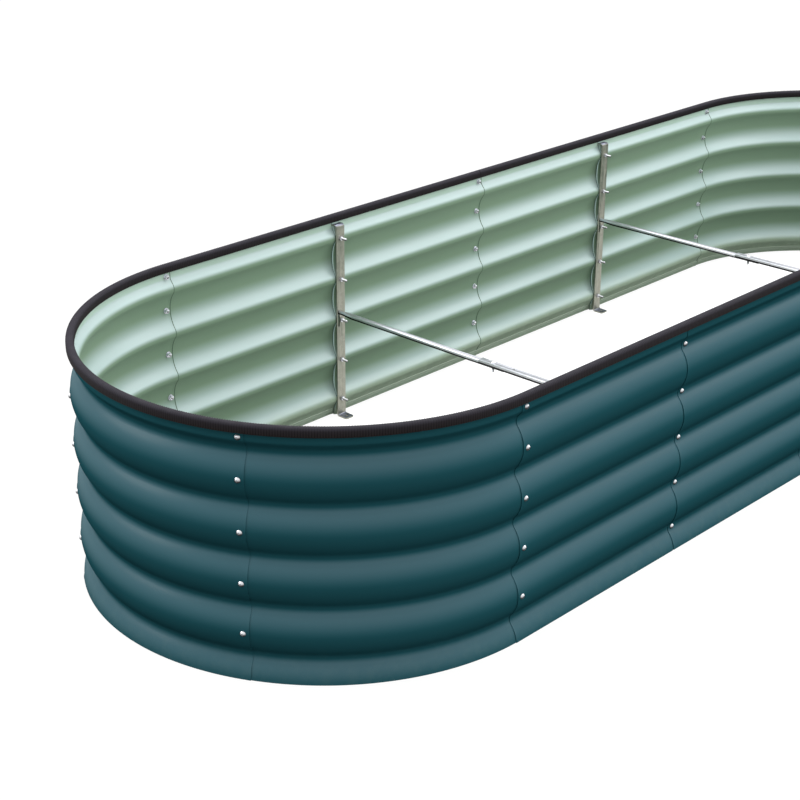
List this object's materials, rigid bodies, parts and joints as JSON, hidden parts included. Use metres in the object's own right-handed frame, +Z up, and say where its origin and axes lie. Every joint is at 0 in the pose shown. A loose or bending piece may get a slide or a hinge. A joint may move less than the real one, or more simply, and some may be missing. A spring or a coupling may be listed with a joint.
{
  "type": "raised garden bed",
  "caption": "Long oval raised garden bed of corrugated metal panels with a rubber edge strip, inner braces and crossbars; open top and bottom.",
  "frame": {"origin": "on the ground, under the middle of the bed", "axes": "+X along the bed, +Y across it to the far side, +Z up"},
  "size_m": [2.5822, 0.8624, 0.43],
  "materials": {
    "wall_panel": "satin powder coat, blue-green outside and pale green inside",
    "edge_trim": "matte, finely ribbed",
    "brace": "galvanised",
    "crossbar": "zinc plated",
    "fastener": "bright zinc"
  },
  "bodies": {
    "root": {"panel_near_1": "wall_panel", "panel_near_2": "wall_panel", "panel_near_3": "wall_panel", "panel_near_4": "wall_panel", "panel_far_1": "wall_panel", "panel_far_2": "wall_panel", "panel_far_3": "wall_panel", "panel_far_4": "wall_panel", "panel_left_near": "wall_panel", "panel_left_middle": "wall_panel", "panel_left_far": "wall_panel", "panel_right_far": "wall_panel", "panel_right_middle": "wall_panel", "panel_right_near": "wall_panel", "edge_trim_far": "edge_trim", "edge_trim_near": "edge_trim", "edge_trim_left_far": "edge_trim", "edge_trim_left_near": "edge_trim", "edge_trim_right_far": "edge_trim", "edge_trim_right_near": "edge_trim", "brace_far_left": "brace", "brace_far_right": "brace", "brace_near_left": "brace", "brace_near_right": "brace", "crossbar_left_far_half": "crossbar", "crossbar_left_near_half": "crossbar", "crossbar_right_far_half": "crossbar", "crossbar_right_near_half": "crossbar", "clamp_bolts": "fastener", "clamp_nuts": "fastener", "lap_bolts": "fastener", "lap_washers": "fastener", "lap_nuts": "fastener", "brace_bolts": "fastener", "brace_nuts": "fastener"}
  },
  "joints": []
}
